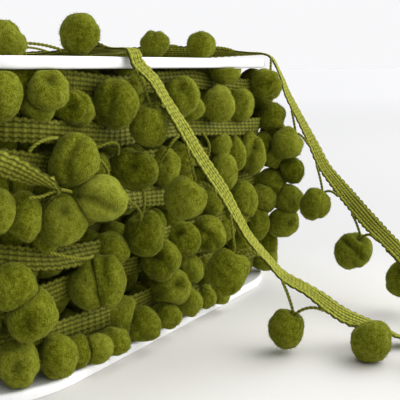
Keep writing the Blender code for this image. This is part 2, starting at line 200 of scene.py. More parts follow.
# A wound pompom of the front, in mm: its middle, its size across and up. pit_right and pit_up say
# where on its face its cord goes in, as shares of its radius from the side it is looked at (2 is a
# pit on its back). fold is the tilt of a crease in degrees, or None, deep the crease's depth as a
# share of the radius, and light how much lighter its yarn is.
WOUND_FIELDS = "x y z across tall pit_right pit_up fold deep light"
Wound = namedtuple("Wound", WOUND_FIELDS, defaults=(2, 2, None, 0.09, 0.0))
WOUND = (
    (-109, -84, 119, 17, 18),
    (-94, -80, 124, 14, 14),
    (-92, -91, 120, 16, 16, 0.3, 0.45),
    (-88, -83, 115, 15, 14),
    (-71, -87, 113, 16, 15, 0, -0.1),
    (-50, -92, 114, 19, 21, 2, 2, 80),
    (-24, -80, 123, 16, 16),
    (5, -90, 115, 18, 20, 0.1, 0.3),
    (24, -84, 108, 15, 13),
    (42, -91, 110, 19, 19),
    (53, -90, 127, 17, 17),
    (72, -89, 108, 16, 17),
    (107, -91, 100, 15, 18),
    (-80, -93, 92, 20, 21, 2, 2, 75, 0.12, 0.4),
    (-52, -84, 86, 10, 13),
    (-37, -92, 85, 21, 19, 0.1, 0.1),
    (-1, -84, 81, 15, 18),
    (16, -84, 83, 15, 15),
    (54, -85, 88, 13, 14),
    (65, -88, 81, 14, 20),
    (81, -91, 81, 16, 23, 0.2, 0.2, 70),
    (105, -86, 81, 13, 20),
    (108, -92, 76, 13, 19),
    (111, -103, 68, 15, 16),
    (-112, -83, 77, 15, 16),
    (-103, -87, 74, 14, 19),
    (-73, -100, 77, 23.5, 18.5, 2, 2, -25, 0.13, 0.55),
    (-85, -92, 69, 19, 21, 0.1, 0.5),
    (-85, -82, 61, 12, 12),
    (51, -89, 73, 15, 21),
    (48, -84, 57, 14, 16),
    (69, -92, 55, 17, 21),
    (98, -90, 51, 16, 18),
    (107, -89, 58, 23, 20),
    (110, -102, 51, 17, 18),
    (-29, -93, 54, 18, 20, -0.3, 0.9),
    (11, -88, 44, 17, 18, -0.3, 0.4),
    (-45, -83, 49, 18, 15),
    (31, -91, 43, 20, 19, 2, 2, -40),
    (66, -88, 46, 15, 19),
    (61, -84, 41, 13, 16),
    (90, -91, 37, 15, 18),
    (109, -99, 36, 20, 18, 0.3, 0),
    (-14, -92, 39, 19, 20, -0.3, 0.2, -35),
    (-61, -93, 40, 19, 21, 2, 2, 85),
    (-66, -88, 39, 15, 20),
    (-108, -85, 47, 19, 19),
    (-103, -90, 36, 18, 21, 0, -0.3),
    (72, -88, 30, 15, 18),
    (107, -89, 25, 15, 22),
    (22, -85, 25, 14, 15),
    (39, -84, 20, 13, 15),
    (-7, -92, 24, 21, 19, 0.4, 0.2, 30),
    (106, -87, 15, 17, 18),
    (-104, -83, 15, 17, 20, 0.1, 0),
    (-89, -90, 14, 16, 18),
    (-75, -89, 12, 12, 14),
    (-67, -93, 12, 13, 14),
    (-40, -84, 15, 19, 20),
    (-55, -93, 11, 13, 13),
    (-34, -94, 12, 16, 15),
    (-13, -94, 11, 13, 13),
    (8, -94, 12, 12, 14),
    (23, -95, 11, 11, 12),
    (35, -96, 10, 11, 11),
)

# A turn of wound braid: how far inside the plates' edge it lies, its tilt in degrees, and its
# height in mm at distances round the reel from the middle of the front.
Turn = namedtuple("Turn", "inset tilt places heights")
TURNS = (
    Turn(9.0, 0, (-412, -150, -74, -41, -10, 32, 82, 412), (121, 122, 123, 121, 122, 122, 118, 121)),
    Turn(6.5, 8, (-412, -160, -109, -75, -42, 27, 64, 107, 412), (104, 106, 106, 103, 100, 99, 97, 94, 104)),
    Turn(10.5, -6, (-412, -109, -88, -40, 60, 412), (86, 94, 91, 86, 82, 86)),
    Turn(10.0, 5, (-412, -109, -31, 40, 412), (70, 76, 69, 64, 70)),
    Turn(7.5, 10, (-412, -111, -84, -54, 0, 100, 412), (53, 58, 53, 50, 47, 44, 53)),
    Turn(10.5, -5, (-412, -60, 60, 412), (36, 38, 34, 36)),
    Turn(7.0, 12, (-412, -95, -55, -12, 42, 60, 412), (20, 22, 20, 21, 24, 23, 20)),
    Turn(9.5, 0, (-412, -30, 50, 412), (13, 15, 12, 13)),
)

# The turns stand out nearer the plates' edge at the front's right corner.
CORNER_AT, CORNER_SPREAD, CORNER_OUT = 108.0, 34.0, 4.0

# A twisted loop of braid that has sprung out of the turns at the front's left corner.
STRAY_BRAID = (
    (-137, -58, 107, 0, 0, -1),
    (-136, -74, 104, 0, 0, -1),
    (-129, -86, 100.5, 0, 0, -1),
    (-120, -92, 96.5, 0.2, 0.1, -0.95),
    (-112, -95, 92.5, 0.45, 0.25, -0.8),
    (-105, -97, 88.5, 0.65, 0.4, -0.6),
    (-99, -97, 85.5, 0.8, 0.45, -0.35),
    (-93, -94, 83, 0.86, 0.5, -0.2),
)

# Where a cord shows between wound pompoms, as points (x, y, z) in mm.
WOUND_CORDS = (
    ((-53, -96, 76), (-51, -98.5, 73.5), (-46, -99.5, 70), (-41.5, -99, 66), (-38, -96, 63)),
    ((-37.5, -95, 78), (-38, -98, 75), (-39, -99, 70), (-39.5, -98.5, 66), (-38, -96, 62)),
    ((-109, -96, 82.5), (-104, -97.5, 82), (-99, -98.5, 83.5), (-93, -98.5, 83.5), (-86, -97, 81.5)),
    ((-107, -95, 99), (-105, -96.5, 101.5), (-101, -97, 102.8), (-95, -96, 103), (-90, -94, 102.5)),
    ((-63, -91, 96), (-58, -94, 98), (-54, -94.5, 98), (-50, -94, 96), (-48.5, -92, 92)),
    ((-73, -95, 94), (-68, -97, 92.5), (-64.5, -97.5, 89), (-62, -97, 86), (-62, -95, 82)),
    ((-96, -94, 59), (-90, -96.5, 56.5), (-82, -97.5, 54), (-75, -97, 53), (-70, -94, 52.5)),
    ((22.5, -92, 97), (23.5, -95, 93), (24.5, -96, 89), (25.5, -94, 84)),
    ((-14, -105, 100), (-20, -105, 98.5), (-25, -104.5, 96), (-27, -103, 92), (-27, -100, 88)),
)

# Seen side of the front's pompoms: the camera's right, its up and the way back to it.
SEEN_RIGHT = np.array((0.504, -0.864, 0.0))
SEEN_UP = np.array((0.144, 0.084, 0.986))
SEEN_BACK = np.array((-0.852, -0.497, 0.167))

# Seeds of the random draws.
LOOSE_SEED, WOUND_SEED = 1000, 7


def unit(v):
    """v, or each of its rows, at a length of 1."""
    return v / np.linalg.norm(v, axis=-1, keepdims=True)


def add_object(name, data, place=(0, 0, 0), look=None):
    """An object in the scene, turned to face along look if that is given."""
    made = bpy.data.objects.new(name, data)
    bpy.context.scene.collection.objects.link(made)
    made.location = place
    if look is not None:
        made.rotation_euler = look.to_track_quat("-Z", "Y").to_euler()
    return made


# ---- materials


class Nodes:
    """Shorthand for the nodes of a material or a world."""

    def __init__(self, owner, shader):
        owner.use_nodes = True
        self.owner = owner
        self.tree = owner.node_tree
        self.shader = self.tree.nodes[shader]

    def add(self, kind, settings=(), **inputs):
        """A new node. An input is named by its socket, or as i0, i1 and so on by its number."""
        node = self.tree.nodes.new("ShaderNode" + kind)
        for key, value in dict(settings).items():
            setattr(node, key, value)
        for key, value in inputs.items():
            name = int(key[1:]) if key[1:].isdigit() else key.replace("_", " ")
            self.set(node.inputs[name], value)
        return node

    def set(self, target, value):
        if isinstance(value, bpy.types.NodeSocket):
            self.tree.links.new(value, target)
        else:
            target.default_value = value

    def math(self, operation, a, b=0.0):
        return self.add("Math", {"operation": operation}, i0=a, i1=b).outputs[0]

    def total(self, *terms):
        """The sum of values, each times its weight."""
        result, *others = [self.math("MULTIPLY", value, weight) for value, weight in terms]
        for other in others:
            result = self.math("ADD", result, other)
        return result

    def noise(self, vector, scale, detail):
        return self.add("TexNoise", Vector=vector, Scale=scale, Detail=detail).outputs["Fac"]

    def mix(self, share, a, b):
        node = self.add("Mix", {"data_type": "RGBA"})
        for name, value in (("Factor", share), ("A", a), ("B", b)):
            self.set(node.inputs[name], value)
        return node.outputs["Result"]

    def spread(self, value, low, high, to_low=0.0, to_high=1.0):
        """value's range from low to high, stretched to another."""
        node = self.add("MapRange", Value=value, From_Min=low, From_Max=high, To_Min=to_low, To_Max=to_high)
        return node.outputs[0]

    def place(self):
        return self.add("TexCoord").outputs["Object"]

    def look(self):
        """The three values kept at each point of a mesh."""
        node = self.add("Attribute", {"attribute_name": "look"})
        return self.add("SeparateXYZ", Vector=node.outputs["Vector"]).outputs

    def bump(self, height, distance, strength):
        return self.add("Bump", Height=height, Distance=distance, Strength=strength).outputs["Normal"]

    def finish(self, **values):
        """The material or world, with its shader's inputs set."""
        for key, value in values.items():
            self.set(self.shader.inputs[key.replace("_", " ")], value)
        return self.owner


def material_nodes(name):
    return Nodes(bpy.data.materials.new(name), "Principled BSDF")


YARN_DARK = (0.044, 0.050, 0.0008, 1)
YARN_MID = (0.130, 0.144, 0.007, 1)
YARN_LIGHT = (0.26, 0.28, 0.034, 1)
# Near black: painted shade for pompoms' pits and folds and for the braid's low spots.
CREVICE_SHADE = (0.008, 0.0095, 0.0003, 1)
BRAID_DARK = (0.048, 0.053, 0.0015, 1)
BRAID_LIGHT = (0.43, 0.445, 0.045, 1)
SHADED_BAND_LIGHT = (0.29, 0.30, 0.030, 1)  # the wound braid, darker than the loose braid: painted shade
SHEEN = (0.52, 0.56, 0.12, 1)
PLASTIC_DARK = (0.88, 0.88, 0.875, 1)
PLASTIC_LIGHT = (0.93, 0.93, 0.93, 1)

# Noise scales, in waves a metre: of the pile, the braid, the cord and the plastic.
FIBRES, TUFTS, CLOUDS = 1900.0, 560.0, 110.0
BRAID_THREAD, BRAID_PATCHES = 2200.0, 420.0
CORD_THREAD = 2600.0
PLASTIC_WAVES, SCUFFS = 22.0, 900.0

# What braid and cord share: smooth yarn that catches a little light along its threads.
YARN_FINISH = {
    "Roughness": 0.75,
    "Sheen_Weight": 0.12,
    "Sheen_Roughness": 0.4,
    "Sheen_Tint": SHEEN,
    "Specular_IOR_Level": 0.1,
}


def pompom_material():
    """Cut pile: short fibres that catch the light at their tips, with a painted highlight on loose fibres and
    painted shade in pits and folds.
    """
    n = material_nodes("pompom_yarn")
    place = n.place()
    pile, tint, _ = n.look()
    fibres = n.noise(place, FIBRES, 3.0)
    tufts = n.noise(place, TUFTS, 2.0)
    cloud = n.noise(place, CLOUDS, 1.0)
    grain = n.total((fibres, 0.6), (tufts, 0.4))
    shade = n.total((n.spread(grain, 0.34, 0.66), 0.7), (cloud, 0.4), (tint, 0.25))
    colour = n.mix(n.spread(shade, 0.1, 0.6), YARN_DARK, YARN_MID)
    colour = n.mix(n.spread(shade, 0.5, 1.15), colour, YARN_LIGHT)
    # Painted shade: the yarn goes near black in pits and folds.
    colour = n.mix(n.spread(pile, 0.0, 0.9), CREVICE_SHADE, colour)
    normal = n.bump(grain, 0.0013, 0.7)
    return n.finish(Base_Color=colour, Normal=normal, Roughness=0.95, Sheen_Weight=0.42,
                    Sheen_Roughness=0.38, Sheen_Tint=SHEEN, Specular_IOR_Level=0.02)


def braid_material(name, light):
    """Woven gimp: ribs lengthwise, crossed by wefts, with fine thread between, a painted highlight on its
    beads and painted shade between them.
    """
    n = material_nodes(name)
    place = n.place()
    across, along, height = n.look()
    rib = n.math("ABSOLUTE", n.math("SINE", n.math("MULTIPLY", across, math.pi * RIBS)))
    bead = n.math("ABSOLUTE", n.math("SINE", n.math("MULTIPLY", along, math.pi)))
    weave = n.math("MULTIPLY", rib, n.math("ADD", n.math("MULTIPLY", bead, 0.5), 0.5))
    thread = n.noise(place, BRAID_THREAD, 3.0)
    patches = n.noise(place, BRAID_PATCHES, 1.0)
    shade = n.total((weave, 0.9), (thread, 0.5), (patches, 0.4))
    # Painted highlight on the beads' tops and painted shade between ribs and beads, then painted shade in low
    # spots.
    colour = n.mix(n.spread(shade, 0.45, 1.6), BRAID_DARK, light)
    colour = n.mix(n.spread(height, -0.15, 0.6), CREVICE_SHADE, colour)
    normal = n.bump(n.math("ADD", weave, n.math("MULTIPLY", thread, 0.35)), 0.0004, 0.7)
    return n.finish(Base_Color=colour, Normal=normal, **YARN_FINISH)


def cord_material():
    """Two plies twisted together, with painted shade in the groove between them."""
    n = material_nodes("cord_yarn")
    place = n.place()
    ply, _, _ = n.look()
    thread = n.noise(place, CORD_THREAD, 2.0)
    # Painted shade: darker in the groove between the plies.
    shade = n.total((ply, 0.8), (thread, 0.5))
    colour = n.mix(n.spread(shade, 0.25, 1.7), BRAID_DARK, BRAID_LIGHT)
    normal = n.bump(thread, 0.0003, 0.5)
    return n.finish(Base_Color=colour, Normal=normal, **YARN_FINISH)


def plastic_material():
    """White moulded sheet with a faint waviness and small scuffs."""
    n = material_nodes("white_plastic")
    place = n.place()
    cloud = n.noise(place, PLASTIC_WAVES, 3.0)
    scuff = n.noise(place, SCUFFS, 2.0)
    colour = n.mix(cloud, PLASTIC_DARK, PLASTIC_LIGHT)
    rough = n.spread(scuff, 0.3, 0.7, 0.28, 0.42)
    normal = n.bump(scuff, 0.00002, 0.2)
    return n.finish(Base_Color=colour, Normal=normal, Roughness=rough, Specular_IOR_Level=0.5)


# ---- meshes


class Shape:
    """Points in mm, faces and three values at each point, gathered for one mesh."""

    def __init__(self):
        self.points = []
        self.faces = []
        self.values = []
        self.count = 0

    def add(self, points, faces, values):
        self.points.append(np.asarray(points, float))
        self.values.append(np.broadcast_to(np.asarray(values, float), (len(points), 3)))
        self.faces += [[index + self.count for index in face] for face in faces]
        self.count += len(points)

    def piece(self, name, material, *stands_for, slot="pompom_yarn"):
        """The finished object, riding on the part's body."""
        mesh = bpy.data.meshes.new(name)
        mesh.from_pydata((np.concatenate(self.points) * MM).tolist(), [], self.faces)
        look = mesh.attributes.new("look", "FLOAT_VECTOR", "POINT")
        look.data.foreach_set("vector", np.concatenate(self.values).astype(np.float32).ravel())
        mesh.polygons.foreach_set("use_smooth", [True] * len(mesh.polygons))
        mesh.materials.append(material)
        made = add_object(name, mesh)
        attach(made, "root")
        if stands_for:
            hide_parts(*stands_for)
        return made


def grid_faces(rows, columns, closed=False):
    """Quads of a grid of points, rows by columns, whose columns may close round."""
    faces = []
    for row in range(rows - 1):
        for column in range(columns if closed else columns - 1):
            after = (column + 1) % columns
            faces.append((row * columns + column, row * columns + after,
                          (row + 1) * columns + after, (row + 1) * columns + column))
    return faces


def capped_faces(rows, columns):
    """Faces of rings of points, each closed round, with a cap over the first and the last."""
    last = (rows - 1) * columns
    faces = grid_faces(rows, columns, closed=True)
    faces.append(tuple(range(columns))[::-1])
    faces.append(tuple(range(last, last + columns)))
    return faces


# ---- reel


def rim(distance):
    """(point, outward direction) in plan at a distance round the plates' edge from the front's middle."""
    half = STRAIGHT_LONG / 2
    lengths = (half, ARC, STRAIGHT_WIDE, ARC, STRAIGHT_LONG, ARC, STRAIGHT_WIDE, ARC, half)
    left = distance % AROUND
    heading = 0.0
    x, y = 0.0, -REEL_WIDE / 2
    for index, length in enumerate(lengths):
        step = min(left, length)
        if index % 2:
            turned = heading + step / REEL_CORNER
            x += REEL_CORNER * (math.sin(turned) - math.sin(heading))
            y -= REEL_CORNER * (math.cos(turned) - math.cos(heading))
            heading = turned
        else:
            x += step * math.cos(heading)
            y += step * math.sin(heading)
        left -= step
        if left <= 0:
            break
    return np.array((x, y, 0.0)), np.array((math.sin(heading), -math.cos(heading), 0.0))


PLATE_POINTS = 200
RIM_STEPS = 5


def plate(name, underside, material, node):
    """One flat plate with a rounded rim."""
    rims = [rim(AROUND * index / PLATE_POINTS) for index in range(PLATE_POINTS)]
    angles = np.linspace(-90, 90, 2 * RIM_STEPS + 1)
    rings = []
    for angle in np.radians(angles):
        inset = PLATE_ROUNDING * (1 - math.cos(angle))
        lift = PLATE_ROUNDING * math.sin(angle) + math.copysign(PLATE_THICK / 2 - PLATE_ROUNDING, angle)
        height = underside + PLATE_THICK / 2 + lift
        rings.append([point - outward * inset + UP * height for point, outward in rims])
    shape = Shape()
    shape.add(np.array(rings).reshape(-1, 3), capped_faces(len(rings), PLATE_POINTS), (0, 0, 0))
    made = shape.piece(name, material, node, slot="reel")
    for polygon in made.data.polygons[-2:]:
        polygon.use_smooth = False
    return made


# ---- pompoms

Waves = namedtuple("Waves", "frequency count high")


class Relief:
    """A smooth random height over directions: a sum of waves."""

    def __init__(self, rng, waves):
        spread = rng.normal(size=(waves.count, 3))
        self.waves = unit(spread) * waves.frequency * rng.uniform(*WAVE_VARY, (waves.count, 1))
        self.phases = rng.uniform(0, 2 * math.pi, waves.count)
        self.scale = math.sqrt(2 / waves.count) * waves.high

    def at(self, directions):
        return np.sin(directions @ self.waves.T + self.phases).sum(1) * self.scale


# How finely a pompom is made: rings and sides of its mesh, and how many loose fibres it has.
Detail = namedtuple("Detail", "rings sides fuzz")
NEAR = Detail(30, 42, 620)
FAR = Detail(14, 20, 90)
DEEP = Detail(10, 14, 12)

# A pompom's outline, in shares of its half size and in radians from its pole: its body, the waves
# over it from broad lumps to fine tufts, the pit that its cord goes in at and the collar round it.
BODY = 0.96
WAVES = (Waves(2.4, 7, 0.06), Waves(4.2, 8, 0.028), Waves(7.5, 12, 0.018), Waves(15.0, 14, 0.008))
WAVE_VARY = (0.7, 1.3)
PIT_SPREAD = 0.36
PIT_SHADE = 2.6  # how fast a pit's painted shade deepens with its depth
COLLAR_UP, COLLAR_AT, COLLAR_SPREAD = 0.03, 0.8, 0.28

# A crease's lips, in shares of its depth and of its width.
LIP_UP, LIP_AT, LIP_SPREAD = 0.3, 2.4, 1.2
# How fast a crease's painted shade deepens with its depth.
FOLD_SHADE = 4.5
FOLD_WIDE, FOLD_BEND = (0.12, 0.22), (-0.4, 0.4)  # of a random crease

# A loose fibre: a thin spike, in mm.
FUZZ_WIDE = 0.11
FUZZ_LONG = (0.4, 1.1)
FUZZ_SUNK = 0.35
FUZZ_LEAN, FUZZ_BEND = 0.03, 0.18
FUZZ_ANGLES = (0.0, 2.094, 4.189)
# How much lighter a loose fibre's tint is: painted highlight.
FUZZ_LIGHT = 0.2

# A crease of a pompom, in its own directions: it lies where direction @ across + bend * (direction @
# run)**2 is 0, on the side toward.
Fold = namedtuple("Fold", "across run toward deep wide bend")


class Pompom:
    """A ball of cut yarn. pole is the way its cord leaves it, and tall its height along its pole.

    An upright one has its height along Z instead, whichever way its pole points.
    """

    def __init__(self, rng, middle, across, tall, pole, pit, upright=False):
        self.rng = rng
        self.middle = np.array(middle, float)
        self.pole = unit(np.array(pole, float))
        side = unit(np.cross(self.pole, (0.31, 0.87, 0.38)))
        self.axes = np.stack((side, np.cross(self.pole, side), self.pole), axis=1)
        self.half = np.array((across, across, across if upright else tall)) / 2
        self.stretch = np.array((1.0, 1.0, tall / across if upright else 1.0))
        self.pit = pit
        self.folds = []
        self.reliefs = [Relief(rng, waves) for waves in WAVES]
        self.tint = rng.uniform(-0.5, 0.5)
        self.planes = []

    def add_fold(self, across, toward, deep, wide, bend=0.0):
        """A crease square to across, on the side toward, both directions in the frame."""
        across = self.axes.T @ unit(np.array(across, float))
        toward = self.axes.T @ unit(np.array(toward, float))
        self.folds.append(Fold(across, unit(np.cross(across, toward)), toward, deep, wide, bend))

    def add_random_folds(self, *depths):
        """One crease for each range of depths, anywhere on the pompom."""
        for depth in depths:
            deep = self.rng.uniform(*depth)
            across = unit(self.rng.normal(size=3))
            toward = np.cross(across, self.rng.normal(size=3))
            wide = self.rng.uniform(*FOLD_WIDE)
            self.add_fold(across, toward, deep, wide, self.rng.uniform(*FOLD_BEND))

    def size(self, directions):
        """(share of the half size, how deep in a pit or fold) in these directions of its own."""
        angle = np.arccos(np.clip(directions[:, 2], -1, 1))
        pit = np.exp(-((angle / PIT_SPREAD) ** 2))
        collar = np.exp(-(((angle - COLLAR_AT) / COLLAR_SPREAD) ** 2))
        share = BODY - self.pit * pit + COLLAR_UP * collar
        for relief in self.reliefs:
            share = share + relief.at(directions)
        depth = pit * min(1.0, self.pit * PIT_SHADE)
        for fold in self.folds:
            aside = directions @ fold.across + fold.bend * (directions @ fold.run) ** 2
            side = np.clip(directions @ fold.toward * 1.5 + 0.1, 0, 1)
            groove = np.exp(-((aside / fold.wide) ** 2)) * side
            from_lip = (np.abs(aside) - LIP_AT * fold.wide) / (LIP_SPREAD * fold.wide)
            lips = np.exp(-(from_lip**2)) * side
            share = share - fold.deep * groove + LIP_UP * fold.deep * lips
            depth = np.maximum(depth, groove * min(1.0, fold.deep * FOLD_SHADE))
        return share, depth

    def press(self, points):
        """Flattens points against the planes of what the pompom touches."""
        for normal, limit in self.planes:
            over = np.maximum(points @ normal - limit, 0.0)
            points = points - over[:, None] * normal
        return points

    def placed(self, points):
        """Points in its own directions, stretched, set in the frame and pressed."""
        return self.press(self.middle + points @ self.axes.T * self.stretch)

    def build(self, shape, detail):
        """Adds its ball and its loose fibres to a shape."""
        angles = np.linspace(0, math.pi, detail.rings + 1)[1:-1]
        turns = np.linspace(0, 2 * math.pi, detail.sides, endpoint=False)
        polar, turn = np.meshgrid(angles, turns, indexing="ij")
        middle = np.stack((np.sin(polar) * np.cos(turn), np.sin(polar) * np.sin(turn), np.cos(polar)), -1)
        directions = np.concatenate(([(0, 0, 1.0)], middle.reshape(-1, 3), [(0, 0, -1.0)]))
        share, depth = self.size(directions)
        rows, columns = len(angles), detail.sides
        faces = [tuple(1 + index for index in face) for face in grid_faces(rows, columns, closed=True)]
        last = len(directions) - 1
        for column in range(columns):
            after = (column + 1) % columns
            faces.append((0, 1 + after, 1 + column))
            faces.append((last, last - columns + column, last - columns + after))
        faces = [face[::-1] for face in faces]
        # The first value is the painted shade mask: low in pits and folds.
        values = np.stack((1 - depth, np.full(len(depth), self.tint), depth), axis=1)
        shape.add(self.placed(directions * share[:, None] * self.half), faces, values)
        self.add_fuzz(shape, detail.fuzz)

    def add_fuzz(self, shape, count):
        """Loose fibre ends that stand out of the pile, as thin three-sided spikes."""
        directions = unit(self.rng.normal(size=(count, 3)))
        share, depth = self.size(directions)
        stand = unit(directions / self.half + self.rng.normal(size=(count, 3)) * FUZZ_LEAN)
        long = self.rng.uniform(*FUZZ_LONG, count) * (1 - 0.7 * depth)
        root = directions * share[:, None] * self.half
        side = unit(np.cross(stand, (0.4, 0.5, 0.77)))
        other = np.cross(stand, side)
        corners = []
        for angle in FUZZ_ANGLES:
            offset = side * math.cos(angle) + other * math.sin(angle)
            corners.append(root - stand * FUZZ_SUNK + offset * FUZZ_WIDE)
        tip = root + stand * long[:, None] + self.rng.normal(size=(count, 3)) * FUZZ_BEND
        points = np.stack((*corners, tip), axis=1).reshape(-1, 3)
        faces = []
        for first in range(0, 4 * count, 4):
            faces += [(first + one, first + two, first + 3) for one, two in ((0, 1), (1, 2), (2, 0))]
        # A loose fibre gets a lighter tint and less painted shade: painted highlight.
        values = np.stack((1.05 - depth, np.full(count, self.tint + FUZZ_LIGHT), depth), axis=1)
        shape.add(self.placed(points), faces, values.repeat(4, axis=0))


# ---- braid and cord


class Route:
    """A smooth line through a table of stations, with the braid's fringed edge at every point."""

    STEPS = 8

    def __init__(self, stations):
        table = np.array(stations, float)
        places, edges = table[:, :3], unit(table[:, 3:])
        points, turned = [], []
        for index in range(len(places) - 1):
            before = places[max(index - 1, 0)]
            start, end = places[index], places[index + 1]
            after = places[min(index + 2, len(places) - 1)]
            for step in range(self.STEPS):
                t = step / self.STEPS
                points.append(0.5 * (2 * start + (end - before) * t
                                     + (2 * before - 5 * start + 4 * end - after) * t**2
                                     + (3 * start - before - 3 * end + after) * t**3))
                turned.append(edges[index] * (1 - t) + edges[index + 1] * t)
        self.points = np.array(points + [places[-1]])
        self.edges = np.array(turned + [edges[-1]])
        steps = np.linalg.norm(np.diff(self.points, axis=0), axis=1)
        self.along = np.concatenate(([0.0], np.cumsum(steps)))
        self.length = self.along[-1]

    def at(self, along):
        """(points, fringed edge directions) at distances along the route."""
        points = np.stack([np.interp(along, self.along, self.points[:, k]) for k in range(3)], -1)
        edges = np.stack([np.interp(along, self.along, self.edges[:, k]) for k in range(3)], -1)
        return points, edges


HOLE_ROWS, HOLE_LONG = 8, 2  # rows of faces from one hole beside the outer ribs to the next, and in a hole
FINE_STEP = BEAD_PITCH / 4  # between two rows of a braid that shows
EDGE_HIGH = 0.4  # a braid's thickness at its edges, as a share


def braid_height(along, ribs, phase):
    """How thick the braid is at each point, as a share: ribs, and the beads of their wefts."""
    rib_up = np.abs(np.sin(math.pi * (ribs + 0.5)))
    bead_up = np.abs(np.sin(math.pi * phase))
    full = 0.85 + 0.15 * np.sin(along / 2.7 + 1.7 * ribs + np.sin(along / 7.3))
    height = 0.14 + 0.86 * full * rib_up**0.6 * (0.62 + 0.38 * bead_up**0.8)
    height[:, (0, -1)] = EDGE_HIGH
    return height


def braid_faces(rows, columns, rib_points, holes, flat_back):
    """Faces of a strip whose upper points come first, row by row, and then its lower ones."""
    both = rows * columns
    beside_outer_ribs = (rib_points, (RIBS - 1) * rib_points - 1)
    faces = []
    for row in range(rows - 1):
        for column in range(columns - 1):
            first = row * columns + column
            cell = (first, first + 1, first + columns + 1, first + columns)
            under = tuple(index + both for index in cell)
            if holes and column in beside_outer_ribs and row % HOLE_ROWS < HOLE_LONG:
                for one, two in zip((0, 1, 2, 3), (1, 2, 3, 0)):
                    faces.append((cell[one], cell[two], under[two], under[one]))
                continue
            faces.append(cell)
            if not flat_back:
                faces.append(under[::-1])
        left, right = row * columns, row * columns + columns - 1
        faces.append((left + columns, left + columns + both, left + both, left))
        faces.append((right, right + both, right + columns + both, right + columns))
        if flat_back:
            faces.append((left + columns + both, right + columns + both, right + both, left + both))
    for row in (0, rows - 1):
        line = list(range(row * columns, (row + 1) * columns))
        back = [line[0], line[-1]] if flat_back else line
        cap = line + [index + both for index in reversed(back)]
        faces.append(tuple(cap if row else cap[::-1]))
    return faces


def add_braid(shape, along, points, edges, rib_points=3, holes=False, flat_back=False, start=0.0):
    """Woven braid along a line of points. Each rib is a row of slanting beads, where the wefts cross it."""
    forward = unit(np.gradient(points, axis=0))
    edges = unit(edges - forward * (edges * forward).sum(1, keepdims=True))
    normals = np.cross(forward, edges)
    shares = np.arange(RIBS * rib_points + 1) / (RIBS * rib_points)
    ribs = shares * RIBS - 0.5
    down = along[:, None]
    slant = BEAD_SLANT * np.abs((ribs + 0.5) % 2 - 1)
    uneven = 0.10 * np.sin(down / 4.1 + 2.3 * ribs) + 0.08 * np.sin(down / 1.9 + 1.1 * ribs)
    phase = (down + start) / BEAD_PITCH + slant + uneven
    height = braid_height(down, ribs, phase)
    picot = PICOT_OUT * np.abs(np.sin(math.pi * (along + start) / PICOT_PITCH)) ** 0.8
    reach = (shares - 0.5) * (BRAID_WIDE - 2 * PICOT_OUT) + 0.12 * np.sin(down / 5.3 + 1.9 * ribs)
    reach[:, 0] -= picot
    reach[:, -1] += picot
    middle = points[:, None] + edges[:, None] * reach[..., None]
    rise = normals[:, None] * (height * BRAID_THICK / 2)[..., None]
    points = np.concatenate(((middle + rise).reshape(-1, 3), (middle - rise).reshape(-1, 3)))
    values = np.stack((shares + np.zeros_like(height), phase, height), axis=-1).reshape(-1, 3)
    values = np.concatenate((values, values))
    faces = braid_faces(*height.shape, rib_points, holes, flat_back)
    if flat_back:  # leaves out the lower points that no face uses
        keep = sorted({index for face in faces for index in face})
        renumber = {old: new for new, old in enumerate(keep)}
        faces = [tuple(renumber[index] for index in face) for face in faces]
        points, values = points[keep], values[keep]
    shape.add(points, faces, values)


def resample(points, step):
    """(distances, points) about step apart along a line of points."""
    points = np.array(points, float)
    along = np.concatenate(([0.0], np.cumsum(np.linalg.norm(np.diff(points, axis=0), axis=1))))
    at = np.linspace(0, along[-1], max(3, round(along[-1] / step) + 1))
    return at, np.stack([np.interp(at, along, points[:, k]) for k in range(3)], -1)


def smoothed(points):
    """A line of points with its corners cut twice."""
    points = np.array(points, float)
    for _ in range(2):
        cut = np.empty((2 * len(points) - 2, 3))
        cut[0::2] = points[:-1] * 0.75 + points[1:] * 0.25
        cut[1::2] = points[:-1] * 0.25 + points[1:] * 0.75
        points = np.concatenate((points[:1], cut, points[-1:]))
    return points


CORD_STEP, CORD_SIDES = 0.4, 8
PLY_DEEP = 0.21  # of the groove between the plies, as a share of the cord's radius


def add_cord(shape, points, radius=CORD_RADIUS):
    """A cord of two twisted plies along a line of points."""
    along, points = resample(points, CORD_STEP)
    forward = unit(np.gradient(points, axis=0))
    across = np.cross(forward[0], (0.37, 0.21, 0.9))
    rings, values = [], []
    turns = np.linspace(0, 2 * math.pi, CORD_SIDES, endpoint=False)
    for distance, point, ahead in zip(along, points, forward):
        across = unit(across - ahead * (across @ ahead))
        spokes = np.cos(turns)[:, None] * across + np.sin(turns)[:, None] * np.cross(ahead, across)
        ply = np.cos(2 * (turns - math.pi * distance / CORD_TWIST))
        reach = radius * (1 - PLY_DEEP + PLY_DEEP * ply)
        rings.append(point + reach[:, None] * spokes)
        # The first value is high on a ply and low in the groove, for painted shade there.
        values += [(0.5 + 0.5 * share, 0, 0) for share in ply]
    faces = [face[::-1] for face in capped_faces(len(rings), CORD_SIDES)]
    shape.add(np.concatenate(rings), faces, values)


def bezier(start, control, end, t):
    return start * (1 - t) ** 2 + control * (2 * t * (1 - t)) + end * t**2


LEG_STEPS = 9
LEG_RISE = 0.32  # how high a leg of a loop arches, as a share of the distance that it spans
FLAT_LEG = 0.3  # how much of that is left over the top plate
LEG_APART = 1.1  # from a leg to the middle of its pompom's pit, in cord radii
TIP_APART = 0.7  # how much of that is left at the tip
TIP_OUT = 1.0  # from the floor of a pompom's hollow to the tip of its loop


